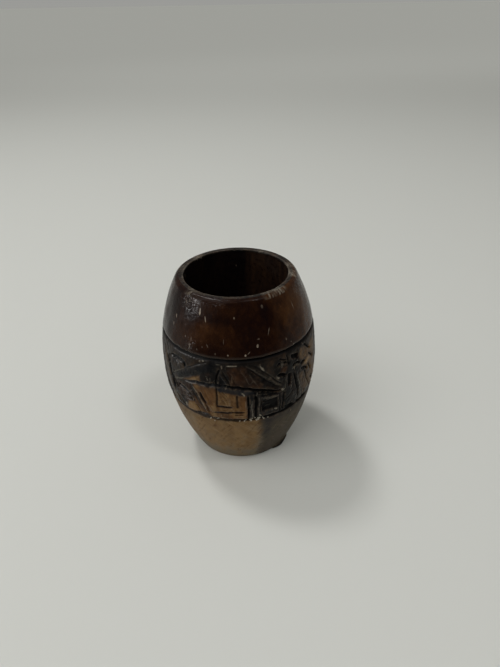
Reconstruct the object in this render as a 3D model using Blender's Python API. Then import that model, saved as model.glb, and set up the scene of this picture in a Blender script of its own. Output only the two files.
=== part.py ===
"""Turned wooden barrel cup.

The wall is turned from one block, bored from the top, and cut with two V grooves that frame its
carved band. A base disc is glued into a rebate in the foot, and a bead of glue seals the joint.

Units are metres and +Z is up. The origin is the centre of the foot ring's flat face, on which the
cup stands, and every piece is turned about the Z axis.
"""
import math

import bmesh
import bpy

# Outside of the wall: a barrel whose radius falls away from the belly as a power curve.
HEIGHT = 0.110
BELLY_Z = 0.0561
BELLY_RADIUS = 0.0442
MOUTH_RADIUS = 0.0320
FOOT_RADIUS = 0.0295
UPPER_BULGE = 2.35
LOWER_BULGE = 1.85
LIP_OUTER_EASE = 0.0010
LIP_INNER_EASE = 0.0004
FOOT_EASE = 0.0008

# V grooves above and below the carved band, as height, width and depth.
UPPER_GROOVE_Z = 0.0808
UPPER_GROOVE_WIDTH = 0.0012
UPPER_GROOVE_DEPTH = 0.0010
LOWER_GROOVE_Z = 0.0418
LOWER_GROOVE_WIDTH = 0.0019
LOWER_GROOVE_DEPTH = 0.0013
FOOT_SECTION_SET_IN = 0.0003

# Inside of the wall: a straight bore that rounds in to a shoulder above the base rebate.
BORE_RADIUS = 0.0280
BORE_END_Z = 0.0150
SHOULDER_RADIUS = 0.0205
SHOULDER_Z = 0.0085
REBATE_RADIUS = 0.0230
REBATE_DEPTH = 0.0070
REBATE_CHAMFER = 0.0004

# Base disc and the glue around it.
CLEARANCE = 0.0003
DISC_RADIUS = 0.0218
DISC_RECESS = 0.0010
DISC_CHAMFER = 0.0005
BEAD_RECESS = 0.0013

SEGMENTS = 72
CURVE_STEP = 0.0045
EASE_STEPS = 3
BORE_CORNER_STEPS = 5
SHARP_ANGLE = math.radians(32)


def outer_radius(z):
    """Radius of the turned outside at height z, before the grooves are cut."""
    if z >= BELLY_Z:
        share = (z - BELLY_Z) / (HEIGHT - BELLY_Z)
        return BELLY_RADIUS - (BELLY_RADIUS - MOUTH_RADIUS) * share ** UPPER_BULGE
    share = (BELLY_Z - z) / BELLY_Z
    return BELLY_RADIUS - (BELLY_RADIUS - FOOT_RADIUS) * share ** LOWER_BULGE


def outside_run(z_low, z_high, set_in=0.0):
    """Points up the turned outside between two heights, both ends included."""
    steps = max(1, round((z_high - z_low) / CURVE_STEP))
    heights = [z_low + (z_high - z_low) * i / steps for i in range(steps + 1)]
    return [(outer_radius(z) - set_in, z) for z in heights]


def eased_corner(start, end, steps, leave_along_z):
    """Quarter ellipse between two points, without its end points."""
    points = []
    for i in range(1, steps):
        turn = 0.5 * math.pi * i / steps
        along = math.sin(turn)
        across = 1.0 - math.cos(turn)
        share_r, share_z = (across, along) if leave_along_z else (along, across)
        points.append((start[0] + (end[0] - start[0]) * share_r,
                       start[1] + (end[1] - start[1]) * share_z))
    return points


def wall_profile():
    """Closed outline of the wall in (radius, height), up the outside and down the inside."""
    lower_groove_low = LOWER_GROOVE_Z - LOWER_GROOVE_WIDTH / 2
    lower_groove_high = LOWER_GROOVE_Z + LOWER_GROOVE_WIDTH / 2
    upper_groove_low = UPPER_GROOVE_Z - UPPER_GROOVE_WIDTH / 2
    upper_groove_high = UPPER_GROOVE_Z + UPPER_GROOVE_WIDTH / 2

    foot_flat = (FOOT_RADIUS - FOOT_SECTION_SET_IN - FOOT_EASE, 0.0)
    foot_side = (outer_radius(FOOT_EASE) - FOOT_SECTION_SET_IN, FOOT_EASE)
    lip_side = (outer_radius(HEIGHT - LIP_OUTER_EASE), HEIGHT - LIP_OUTER_EASE)
    lip_outer = (MOUTH_RADIUS - LIP_OUTER_EASE, HEIGHT)
    lip_inner = (BORE_RADIUS + LIP_INNER_EASE, HEIGHT)
    bore_top = (BORE_RADIUS, HEIGHT - LIP_INNER_EASE)
    bore_end = (BORE_RADIUS, BORE_END_Z)
    shoulder = (SHOULDER_RADIUS, SHOULDER_Z)

    profile = [(REBATE_RADIUS + REBATE_CHAMFER, 0.0), foot_flat]
    profile += eased_corner(foot_flat, foot_side, EASE_STEPS, leave_along_z=False)
    profile += outside_run(FOOT_EASE, lower_groove_low, FOOT_SECTION_SET_IN)
    profile.append((outer_radius(LOWER_GROOVE_Z) - LOWER_GROOVE_DEPTH, LOWER_GROOVE_Z))
    profile += outside_run(lower_groove_high, upper_groove_low)
    profile.append((outer_radius(UPPER_GROOVE_Z) - UPPER_GROOVE_DEPTH, UPPER_GROOVE_Z))
    profile += outside_run(upper_groove_high, lip_side[1])
    profile += eased_corner(lip_side, lip_outer, EASE_STEPS, leave_along_z=True)
    profile += [lip_outer, lip_inner]
    profile += eased_corner(lip_inner, bore_top, EASE_STEPS, leave_along_z=False)
    profile += [bore_top, bore_end]
    profile += eased_corner(bore_end, shoulder, BORE_CORNER_STEPS, leave_along_z=True)
    profile += [shoulder, (SHOULDER_RADIUS, REBATE_DEPTH), (REBATE_RADIUS, REBATE_DEPTH),
                (REBATE_RADIUS, REBATE_CHAMFER)]
    return profile


def disc_profile():
    """Open outline of the base disc, from the axis below to the axis above."""
    low = DISC_RECESS
    high = REBATE_DEPTH - CLEARANCE
    return [(0.0, low), (DISC_RADIUS - DISC_CHAMFER, low), (DISC_RADIUS, low + DISC_CHAMFER),
            (DISC_RADIUS, high - DISC_CHAMFER), (DISC_RADIUS - DISC_CHAMFER, high), (0.0, high)]


def bead_profile():
    """Closed outline of the glue bead, hollow on its under side where it has shrunk."""
    inner = DISC_RADIUS + CLEARANCE
    outer = REBATE_RADIUS - CLEARANCE
    high = REBATE_DEPTH - CLEARANCE
    sag = (outer - inner) / 2
    return [(inner, BEAD_RECESS), ((inner + outer) / 2, BEAD_RECESS + sag), (outer, BEAD_RECESS),
            (outer, high), (inner, high)]


def turned_piece(name, profile, closed, material):
    """Spin an outline about the Z axis into one closed solid."""
    shape = bmesh.new()
    ring = [shape.verts.new((radius, 0.0, z)) for radius, z in profile]
    pairs = list(zip(ring, ring[1:]))
    if closed:
        pairs.append((ring[-1], ring[0]))
    edges = [shape.edges.new(pair) for pair in pairs]
    bmesh.ops.spin(shape, geom=ring + edges, cent=(0, 0, 0), axis=(0, 0, 1), dvec=(0, 0, 0),
                   angle=2 * math.pi, steps=SEGMENTS, use_merge=True)
    bmesh.ops.remove_doubles(shape, verts=shape.verts, dist=1e-6)
    bmesh.ops.recalc_face_normals(shape, faces=shape.faces)

    mesh = bpy.data.meshes.new(name)
    shape.to_mesh(mesh)
    shape.free()
    mesh.shade_smooth()
    mesh.set_sharp_from_angle(angle=SHARP_ANGLE)
    mesh.materials.append(material)
    piece = bpy.data.objects.new(name, mesh)
    bpy.context.scene.collection.objects.link(piece)
    return piece


def finish(name, colour, roughness):
    """Principled material of one colour."""
    material = bpy.data.materials.new(name)
    material.use_nodes = True
    shader = material.node_tree.nodes["Principled BSDF"]
    shader.inputs["Base Color"].default_value = (*colour, 1.0)
    shader.inputs["Roughness"].default_value = roughness
    shader.inputs["Metallic"].default_value = 0.0
    material.diffuse_color = (*colour, 1.0)
    return material


def main():
    for leftover in list(bpy.data.objects):
        bpy.data.objects.remove(leftover, do_unlink=True)

    stained_wood = finish("stained_wood", (0.075, 0.028, 0.014), 0.35)
    base_wood = finish("base_wood", (0.16, 0.085, 0.045), 0.60)
    dried_glue = finish("dried_glue", (0.22, 0.12, 0.04), 0.30)

    turned_piece("barrel_body", wall_profile(), True, stained_wood)
    turned_piece("base_disc", disc_profile(), False, base_wood)
    turned_piece("glue_bead", bead_profile(), True, dried_glue)


main()
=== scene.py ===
"""Looks of the turned wooden barrel cup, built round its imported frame.

The wall is one fine mesh: a turned surface of revolution whose outside is cut, in millimetres of
depth, by the two grooves, the carved band and small damage. What was cut, worn or left pale is kept
in mesh attributes, and the wood's material reads them.
"""

import math

import bpy
import numpy as np
from mathutils import Matrix, Vector


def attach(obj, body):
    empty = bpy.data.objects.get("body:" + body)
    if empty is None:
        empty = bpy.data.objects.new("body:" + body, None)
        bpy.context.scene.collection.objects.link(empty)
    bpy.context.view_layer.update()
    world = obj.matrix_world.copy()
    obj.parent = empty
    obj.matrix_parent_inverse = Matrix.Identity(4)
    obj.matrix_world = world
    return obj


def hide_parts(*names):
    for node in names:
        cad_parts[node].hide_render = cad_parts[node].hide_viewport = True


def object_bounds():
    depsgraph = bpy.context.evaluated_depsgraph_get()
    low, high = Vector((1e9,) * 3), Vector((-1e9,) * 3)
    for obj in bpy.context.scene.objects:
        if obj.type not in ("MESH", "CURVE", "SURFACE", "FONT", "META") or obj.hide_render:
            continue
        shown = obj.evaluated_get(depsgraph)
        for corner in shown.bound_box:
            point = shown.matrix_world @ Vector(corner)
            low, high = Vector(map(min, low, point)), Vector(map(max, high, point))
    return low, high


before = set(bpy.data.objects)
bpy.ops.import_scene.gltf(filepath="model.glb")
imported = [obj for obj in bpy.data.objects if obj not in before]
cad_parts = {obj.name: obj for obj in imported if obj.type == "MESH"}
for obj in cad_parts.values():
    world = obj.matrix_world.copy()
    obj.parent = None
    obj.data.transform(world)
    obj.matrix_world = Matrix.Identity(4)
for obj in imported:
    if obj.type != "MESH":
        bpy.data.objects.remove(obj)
cad_low, cad_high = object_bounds()

MM = 0.001
TAU = 2 * math.pi

# ---- Sizes, in millimetres, from the frame where it holds them
HEIGHT = cad_high.z / MM
BELLY_RADIUS = 44.2
BELLY_Z = 56.1
MOUTH_RADIUS = 32.0
FOOT_RADIUS = 29.5
UPPER_BULGE = 2.35
LOWER_BULGE = 1.85
LIP_OUTER_EASE = 1.9
LIP_INNER_EASE = 0.5
FOOT_EASE = 0.8
FOOT_SET_IN = 0.3
BORE_RADIUS = 28.0
BORE_END_Z = 15.0
SHOULDER_RADIUS = 20.5
SHOULDER_Z = 8.5
REBATE_RADIUS = 23.0
REBATE_DEPTH = 7.0
REBATE_CHAMFER = 0.4

UPPER_GROOVE_Z = 80.8
UPPER_GROOVE_WIDTH = 2.3
UPPER_GROOVE_DEPTH = 1.7
LOWER_GROOVE_Z = 41.8
LOWER_GROOVE_WIDTH = 3.4
LOWER_GROOVE_DEPTH = 1.8
CARVING_DROP = 0.8
HAND_BEND = 0.13         # how far the hand wavers
RUN_OUT = 0.12           # share of a stroke over which it runs out
PANEL_SLOPE = 0.7        # width of a sunk panel's sides
RIDGE_ASIDE = 1.3        # how far a spray leaf's pale edge stands from its middle
SCUFF_COUNT = 240

GIRTH = TAU * BELLY_RADIUS

# Where the motifs stand round the belly, from the front, and the palm from the middle of its scene
PALM_X = 31.0
BACK_SCENE_X = GIRTH / 2 - 4.0
RIGHT_SPRAY_X = 66.0
LEFT_SPRAY_X = -74.0

# What the wall's mesh says about the wood at each point
ATTRIBUTES = ("tone", "cut", "gloss", "wear", "crumb", "pale", "warm", "scuff")
FOOT_GLOSS = 0.15
BAND_GLOSS = 0.5
EDGE_WEAR = 0.1
BLACK_CUT = 1.4
DENT = 0.05              # height of the waves that sanding by hand left
TOP_DENT = 0.04
BLACK_LUMP_RISE = 2.0
CRUMB_RISE = 0.45

# Rings of the mesh: columns round them and rows up the outside
FINE_COLUMNS = 720
PLAIN_COLUMNS = 360
BORE_COLUMNS = 180
FINE_ROW = 0.48
FOOT_ROW = 0.6
PLAIN_ROW = 1.25
FOOT_ROWS_END_Z = 6.8
BAND_START_Z = LOWER_GROOVE_Z - 3.4
BAND_END_Z = UPPER_GROOVE_Z + 1.4
LIP_START_Z = HEIGHT - LIP_OUTER_EASE


# ---- Small helpers
def waves(across, up, seed, size, terms=14):
    """Smooth random field of about unit size that closes round the cup. Lengths are in mm."""
    draw = np.random.default_rng(seed)
    total = np.zeros(np.broadcast(across, up).shape)
    for _ in range(terms):
        heading = draw.uniform(0, math.pi)
        pitch = TAU / size * draw.uniform(0.6, 1.6)
        around = round(pitch * math.cos(heading) * GIRTH / TAU) / GIRTH * TAU
        total += np.cos(around * across + pitch * math.sin(heading) * up + draw.uniform(0, TAU))
    return total / math.sqrt(terms / 2)


def smooth_step(low, high, value):
    share = np.clip((value - low) / (high - low), 0, 1)
    return share * share * (3 - 2 * share)


def columns_across(count):
    """Distance round the belly, from the front, of each of a ring's columns."""
    return (np.arange(count) / count - 0.5) * GIRTH


def degrees_at(across):
    return across / GIRTH * 360


def turn_between(degrees, turn):
    """Signed angle from turn to degrees, the short way round."""
    return (degrees - turn + 180) % 360 - 180


def patches(degrees, up, table, total=0.0):
    """Total plus soft patches, each given as turn, height, half turn, half height and amount."""
    for turn, height, half_turn, half_height, amount in table:
        away = turn_between(degrees, turn) / half_turn
        total = total + amount * np.exp(-(away ** 2 + ((up - height) / half_height) ** 2))
    return total


def outer_radius(z):
    """Radius of the turned outside at height z, without cuts."""
    up = np.clip((z - BELLY_Z) / (HEIGHT - BELLY_Z), 0, None)
    down = np.clip((BELLY_Z - z) / BELLY_Z, 0, None)
    return (BELLY_RADIUS - (BELLY_RADIUS - MOUTH_RADIUS) * up ** UPPER_BULGE
            - (BELLY_RADIUS - FOOT_RADIUS) * down ** LOWER_BULGE)


def smooth_line(points, steps=8):
    """Catmull-Rom curve through hand-set points."""
    p = np.array(points, float)
    if len(p) < 3:
        return p
    p = np.vstack([2 * p[0] - p[1], p, 2 * p[-1] - p[-2]])
    out = []
    for a, b, c, d in zip(p, p[1:], p[2:], p[3:]):
        for t in np.arange(steps) / steps:
            out.append(0.5 * (2 * b + (c - a) * t + (2 * a - 5 * b + 4 * c - d) * t * t
                              + (3 * b - a - 3 * c + d) * t ** 3))
    out.append(p[-2])
    return np.array(out)


# ---- Carving: a sheet of cut depth over the outside, drawn with gouge strokes
class Carving:
    """Depth of cut in mm over a grid of distance round the belly (across) and height (up).

    across runs to the right of the front, and up starts at the lower groove's middle.
    """

    def __init__(self, columns, heights):
        self.across = columns_across(columns)
        self.up = heights - LOWER_GROOVE_Z
        self.depth, self.tint, self.pale, self.warm = np.zeros((4, len(heights), columns))
        grid = np.meshgrid(self.across, self.up)
        self.bend_across = HAND_BEND * waves(*grid, 11, 9.0)
        self.bend_up = HAND_BEND * waves(*grid, 12, 9.0)
        self.hand = waves(*grid, 13, 4.0)
        self.shift, self.flip = 0.0, 1.0

    def place(self, points):
        """Points of a motif, moved and perhaps mirrored to where the motif stands."""
        p = np.array(points, float)
        return np.column_stack([p[:, 0] * self.flip + self.shift, p[:, 1] - CARVING_DROP])

    def window(self, line, reach):
        """Cells near a line, perhaps none, and their hand-wavered places, unrolled round its middle."""
        left, right = line[:, 0].min(), line[:, 0].max()
        middle = (left + right) / 2
        offset = (self.across - middle + GIRTH / 2) % GIRTH - GIRTH / 2
        columns = np.flatnonzero(np.abs(offset) < (right - left) / 2 + reach)
        rows = np.flatnonzero((self.up > line[:, 1].min() - reach) & (self.up < line[:, 1].max() + reach))
        spot = np.ix_(rows, columns)
        x = middle + offset[columns][None, :] + self.bend_across[spot]
        y = self.up[rows][:, None] + self.bend_up[spot]
        return spot, x, y

    def measure(self, line, x, y):
        """Distance to a line, and the share of its length at the nearest point."""
        steps = np.hypot(*(line[1:] - line[:-1]).T)
        best = np.full(x.shape, np.inf)
        along = np.zeros(x.shape)
        done = 0.0
        for a, b, step in zip(line, line[1:], steps):
            d = (b - a) / max(step, 1e-9)
            t = np.clip((x - a[0]) * d[0] + (y - a[1]) * d[1], 0, step)
            gap = np.hypot(x - a[0] - d[0] * t, y - a[1] - d[1] * t)
            along = np.where(gap < best, (done + t) / steps.sum(), along)
            best = np.minimum(gap, best)
            done += step
        return best, along

    def near(self, points, reach):
        """Cells near the curve through a motif's points, their distance to it and share along it."""
        line = smooth_line(self.place(points))
        spot, x, y = self.window(line, reach)
        return spot, *self.measure(line, x, y)

    def press(self, spot, cut):
        self.depth[spot] = np.maximum(self.depth[spot], cut)

    def stroke(self, points, width, depth):
        """V cut along a curve, running out at its ends."""
        spot, gap, along = self.near(points, width + 1.5)
        fade = np.clip(along / RUN_OUT, 0, 1) * np.clip((1 - along) / RUN_OUT, 0, 1)
        size = (0.35 + 0.65 * fade) * (1 + 0.05 * self.hand[spot])
        self.press(spot, depth * size * np.clip(1 - gap / (0.5 * width * size), 0, 1))

    def ridge(self, points, width, amount):
        """Narrow edge left standing and worn pale."""
        spot, gap, along = self.near(points, width + 1.0)
        fade = np.clip(6 * np.minimum(along, 1 - along), 0.25, 1)
        size = np.clip(fade * (1 + 0.30 * self.hand[spot]), 0.3, None)
        left = amount * np.clip(1.15 - gap / (0.5 * width * size), 0, 1)
        self.pale[spot] = np.maximum(self.pale[spot], left)

    def leaf(self, base, tip, width, depth, bend):
        """Leaf-shaped V cut, widest near its middle, which arches by bend."""
        base, tip = np.array(base, float), np.array(tip, float)
        normal = np.array([-(tip - base)[1], (tip - base)[0]])
        spot, gap, along = self.near([base, (base + tip) / 2 + bend * normal, tip], width + 1.5)
        size = np.sin(math.pi * np.clip(along, 0.02, 0.98)) ** 0.8 * (1 + 0.12 * self.hand[spot])
        self.press(spot, depth * np.clip(size, 0, 1) * np.clip(1 - gap / (0.5 * width * size), 0, 1))

    def inside(self, outline):
        """Cells round an outline, with the distance to its edge, negative outside it."""
        corners = self.place(outline)
        line = np.vstack([corners, corners[:1]])
        spot, x, y = self.window(line, 2.0)
        gap, _ = self.measure(line, x, y)
        within = np.zeros(x.shape, bool)
        for (ax, ay), (bx, by) in zip(line, line[1:]):
            crosses = (ay > y) != (by > y)
            cut_x = (bx - ax) * (y - ay) / (by - ay if by != ay else 1e-9) + ax
            within ^= crosses & (x < cut_x)
        return spot, np.where(within, gap, -gap)

    def recess(self, outline, depth):
        """Sunk panel inside an outline, with sloping sides and a floor left by the gouge."""
        spot, gap = self.inside(outline)
        floor = depth * (1 + 0.10 * self.hand[spot])
        self.press(spot, floor * np.clip(gap / PANEL_SLOPE, 0, 1))

    def stain(self, outline, change, warm, soft=1.0):
        """Make the wood inside an outline paler or darker, and redder or greyer (below 0)."""
        spot, gap = self.inside(outline)
        share = smooth_step(-soft, soft, gap)
        self.tint[spot] += change * share
        self.warm[spot] += (warm - self.warm[spot]) * share


# Each motif holds cuts and ridges, as rows of width, depth or paleness, and points; sunk panels, as rows
# of depth and outline; and stains, as rows of change of tone, warmth and outline. Points are given as
# x, y, x, y and so on, in mm from the motif's middle and the ground line.
ROOF = {
    "cuts": (
        (1.3, 0.5, -41.5, 21.6, -36, 25.4, -30, 30, -24, 34, -17, 37.4, -12.4, 38.2),
        (0.9, 0.45, -33, 23.2, -27, 27, -21, 30.4, -17, 32.8),
        (2.3, 1.9, -31, 22.1, -25, 23.6, -19, 24.4, -12, 25, -7, 25, 0, 24.3, 6, 22.9, 12, 21.1,
         18, 19.2, 24.6, 17.4),
        (1.7, 1.2, -11.3, 24.4, -10.7, 28.4, -9.5, 32.6, -8.6, 35.4),
        (1, 0.6, -12.8, 25, -11.7, 28.4), (1.2, 0.7, -7.2, 34.4, -5.1, 29.6, -2.8, 25),
        (1, 0.6, -4.6, 34.8, -2.5, 30.6, -0.5, 26.4),
        (1.5, 0.8, 5, 36.8, 9.4, 32.8, 14.2, 28, 20, 22.8, 24, 19.4),
        (1.3, 0.7, 9.2, 37.4, 13.4, 33, 17.4, 29, 22, 24.2, 26, 19.6),
        (1.4, 1.1, 8, 20.6, 16, 18.2, 23.4, 16.2), (0.8, 0.3, 1.4, 36, 4.4, 30.6, 6.2, 25.4),
        (0.8, 0.35, 4.2, 34, 8, 28.4, 10, 23.4),
    ),
    "panels": (
        (0.6, -9.9, 25.6, -8.5, 33, -4.8, 25.6),
        (0.24, -12, 24.4, 0, 23.8, 9, 21.6, 9.4, 18.8, 4, 19.2, -4, 20.8, -11.4, 21.8),
        (0.5, 5, 36.2, 9, 32.8, 14, 28.2, 23, 20, 19, 20.6, 11, 27, 6.4, 31.6),
    ),
    "stains": (
        (0.13, 0.7, -5, 36.6, 6, 36.8, 13, 29, 14, 22, 0, 24.6, -3, 25),
        (-0.12, -0.5, -40, 22, -30, 29.6, -24, 33.8, -12.6, 38, -12.8, 33, -21, 30, -33, 22.6),
        (0.02, 0.2, -20, 30, -12, 33, -11, 25.4, -19, 25.6),
        (0.55, -0.1, -31.4, 22.8, -27, 25.6, -20.4, 29, -19.4, 25.2, -25, 24),
        (0, 0.3, 5, 36.6, 14, 29.2, 23.6, 20.6, 19, 20, 7, 31),
        (0.06, 0.8, 10, 22.6, 24, 18, 23, 16.4, 12, 19.6),
        # painted shade: the strip under the eave stays out of the pale wall stain and is darker and greyer
        (0.1, -1, -12, 24.6, 9, 21.8, 10, 18.8, 4, 19, -11.4, 21.4),
        (0.02, -0.8, -10, 25.6, -8.5, 33.4, -4.6, 25.6),
    ),
    "ridges": (
        (1.2, 0.3, -39.8, 19.1, -35.5, 21.2, -31, 23.8), (0.77, 0.33, -16, 30, -15.4, 27.4),
        # painted highlight: the pale ridges 37 to 39 mm up run along the upper groove's lower lip, where it
        # catches the light
        (0.59, 0.28, -14.6, 27.2, -14.2, 25.8), (0.51, 0.76, -20.2, 38, -17, 38.8),
        (0.51, 0.22, -10.4, 37.9, -6.6, 37.4), (0.55, 0.7, -5, 37.3, 0.8, 37.4),
        (0.68, 0.12, 4.5, 38, 9, 34.3, 14, 29.8, 20, 24.6, 26, 18.6),
        (0.59, 0.1, 10.6, 37.6, 14.4, 33.3, 18, 29.4, 22, 25.2, 26, 20.6),
        (0.85, 0.85, 12.6, 36, 14.6, 32.8), (1.02, 0.76, 24.4, 17.9, 26.6, 16.8),
        (0.85, 0.95, 2.4, 21.2, 4, 19), (0.51, 0.11, 2.2, 34.6, 5, 29.6, 7, 25),
        (0.51, 0.12, 6, 33, 9, 28.4, 11.4, 23.4),
    ),
}

WALLS = {
    "cuts": (
        (2, 1.05, -10.9, 24, -10.9, 17, -11, 10.6), (2.1, 1.3, -11.9, 11, -7, 11.1, -2.3, 11),
        (0.9, 0.7, -10, 22.2, -7.4, 18.2, -4.4, 13.6), (0.8, 0.6, -9.8, 17.2, -7.4, 14.4, -6, 12.6),
        (1, 0.8, -8, 21.8, -5.2, 17.6), (0.7, 0.45, -4.6, 20.2, -7, 16.4, -9.6, 13.2),
        (2.4, 0.85, 0, 20, -0.1, 14, 0.1, 9.4), (2, 1.3, -14.6, 5.4, -10, 6.2, -5, 6.9, 4.8, 6.9),
        (1.4, 0.9, -2.2, 5, 3.4, 5.1), (0.7, 0.5, -2.8, 9.6, -2.6, 7.4), (0.9, 0.7, -5.6, 3.4, -3.4, 1.8),
        (0.8, 0.35, -17.4, 21.6, -15.5, 14, -13, 7), (0.7, 0.3, -19.6, 21.4, -17.4, 14.6),
        (1.7, 1.3, 5.6, 19.6, 5.8, 10, 5.5, 0.6), (2.4, 1.5, 9.8, 19.2, 10, 10, 9.7, 0.6),
        (0.9, 0.9, 12.5, 14.8, 12.4, 6.4), (1.2, 1, 12.2, 17.5, 17, 16.7, 23, 16.2),
        (1, 0.8, 12.4, 2, 17, 1.6, 22.8, 1.8), (1.5, 0.8, 23.8, 16.6, 24, 8, 24, 0.6),
        (1.2, 0.5, 26.3, 17, 26, 10, 25.8, 2),
        (3, 0.62, -22.6, 19.4, -20.5, 15.2, -17.8, 10.4, -15.4, 4.4),
        (0.9, 0.35, -26.8, 20.6, -24, 16, -21.2, 10.6), (2.6, 1.2, -21, 18.6, -19.4, 14.8, -17.6, 11),
        (1.2, 0.9, -24.2, 9.2, -22.7, 5.8, -21.6, 2.8),
        (1.5, 1.2, -33, 0.8, -28, 1.4, -22, 2.8, -17.4, 4),
    ),
    "panels": (
        (1, 12.9, 6.5, 22.7, 6.5, 22.6, 14, 12.9, 14), (0.16, -10.4, 12, -4.4, 12, -4.4, 21, -10.4, 22),
        (0.14, 0.9, 7.6, 4.6, 7.6, 4.6, 18.4, 0.9, 18.8),
    ),
    "stains": (
        (0.6, 0.65, -25, 22.6, -12, 23.6, -10.6, 21.4, 4.4, 18.8, 4.8, 1.2, -14, 1.2, -17, 5, -20.4, 12),
        (0.02, 0.1, -10.2, 12.2, -4.4, 12.2, -4.4, 20, -10.2, 21),
        (0.02, 1, 1, 8, 4.6, 8, 4.4, 18, 1, 18.6), (0.07, 0.9, -19.5, 21, -12, 22.4, -13, 12, -17, 12),
        (0.08, 0.1, -14.4, 11, -11.5, 11, -11.5, 2, -15, 3),
        (0.04, 0.2, -10, 10, -2, 10, -2, 7.4, -10, 7), (-0.06, 0.8, -9, 5.6, -3, 5.8, -3, 2.6, -9, 2.4),
        (0.72, 0.3, -31.6, 3, -29, 8.6, -25, 10, -22.4, 7, -21, 4, -27, 2.2),
        (0.44, 0.8, -24.6, 15, -20, 9, -17, 4.8, -21.6, 4, -24, 10),
        (-0.14, 1, -23, 19.4, -20.4, 18.6, -16.6, 11, -15.6, 5, -17.2, 6, -19.6, 12),
        (-0.03, -0.6, 6.4, 0.6, 9, 0.6, 8.8, 19, 6.6, 19), (0.05, -0.4, 11, 0, 28, 0, 28, 17, 11, 18.4),
        (-0.02, -0.2, 12.6, 6, 23, 6, 23, 14.4, 12.6, 14.4),
        (0.1, -0.3, 12.6, 1, 23, 1, 23, 5.8, 12.6, 5.8),
    ),
    "ridges": (
        (0.7, 0.48, -25.7, 22.2, -22.6, 17.4, -20, 12.4, -17, 4.8), (0.68, 0.25, -16.2, 11.4, -13.4, 4.8),
        (0.68, 0.22, -10.3, 12, -6.5, 12.3, -4.1, 12.8, -3.8, 17.4), (0.77, 0.19, 4.2, 15, 4.3, 7.4),
        (0.59, 0.19, -2.4, 4, 3.2, 4.1), (1.1, 0.17, -9.4, 2.6, -5.6, 2.8),
        (1.1, 0.19, -1.6, 2.5, 3.2, 2.7), (0.8, 0.42, 7.6, 14.8, 7.6, 8, 7.8, 1.8),
        (0.59, 0.18, 11.5, 17.4, 11.5, 10, 11.8, 4.6), (0.85, 0.22, 11.9, 16.3, 15.5, 15.3, 23, 14.9),
        (0.51, 0.17, 13.4, 12, 16.4, 11.7), (0.51, 0.12, 13.6, 9.6, 18, 9.3),
        (0.85, 0.85, 20.2, 6.1, 22.3, 5), (0.85, 0.85, 11.8, 4.4, 12.9, 2.6),
        (1.02, 0.66, -31.9, 6.4, -31.6, 3.4),
    ),
}

FERN = {
    "cuts": (
        (2.1, 1.5, -36.4, 17.3, -32.6, 16.9, -27.8, 15.5), (1.2, 0.9, -29.6, 16.6, -25.6, 13.8),
        (1.3, 1, -34.6, 13.9, -29.4, 13.1, -25.2, 11.4), (1.1, 0.8, -35.4, 10.2, -30, 9.9, -26.2, 9.5),
        (0.9, 0.8, -26.4, 12, -27, 9.2), (0.9, 0.8, -24.4, 12.4, -25.2, 8.8),
        (1.2, 0.9, -37.6, 8, -34.4, 6, -32.6, 3), (2.2, 1.4, -41, 20.6, -38.6, 17.2, -36.6, 13.4),
        (1.3, 1, -39.6, 9, -36.2, 4.2),
    ),
    "panels": (),
    "stains": (
        (0.08, 0.8, -38, 19, -27, 21.6, -23, 13, -25, 10, -31, 8, -37, 11),
    ),
    "ridges": (
        (0.68, 0.25, -34.8, 18.8, -29.6, 18, -25.6, 16.2),
        (0.68, 0.22, -33.8, 15.5, -29.4, 14.4, -24.6, 12), (0.59, 0.15, -35.4, 12, -29, 11.5, -25, 10.4),
        (0.51, 0.28, -25.4, 12.2, -26, 9),
    ),
}

EDGE_LEAF = {
    "cuts": (
        (2.6, 1.6, -41.9, 33.4, -37, 33.9, -31.4, 33.7, -29, 31.4), (1.8, 1.5, -30.8, 33, -30.2, 30.6),
        (1.4, 1, -37.6, 32.7, -34.2, 30.9), (1.3, 0.9, -43.8, 33, -42.8, 27, -41.4, 22.6),
        (4.2, 2, -46.8, 31, -44.5, 24.4, -42.4, 18, -40, 11),
        (2.4, 1.6, -57, 24, -51.8, 15, -47.4, 6.6, -42, 0.8), (1.5, 1, -50.6, 36, -48.8, 31, -47.6, 27),
    ),
    "panels": (),
    "stains": (
        (0.23, -0.9, -53, 30, -47.6, 31, -41.6, 15, -36.6, 2, -41, 1.6, -47, 10),
        # painted shade: darker along the wide deep cut
        (-0.24, -0.1, -47.6, 31, -44, 31, -40, 21, -38, 11, -41.6, 11, -44.4, 20),
        (0.08, -0.3, -42.6, 32.6, -31, 32.6, -40.6, 23),
        (0.06, 0.2, -30, 38, -14, 38, -24, 34.4, -29, 31.4),
    ),
    "ridges": (
        (0.77, 0.22, -29.8, 30.4, -36, 26.1, -41.2, 22.2),
        (1.87, 0.21, -51.6, 27, -48, 18, -43.8, 9, -39.6, 2.6),
        (0.85, 0.17, -47.6, 24, -45, 16, -41.6, 9),
    ),
}

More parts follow.
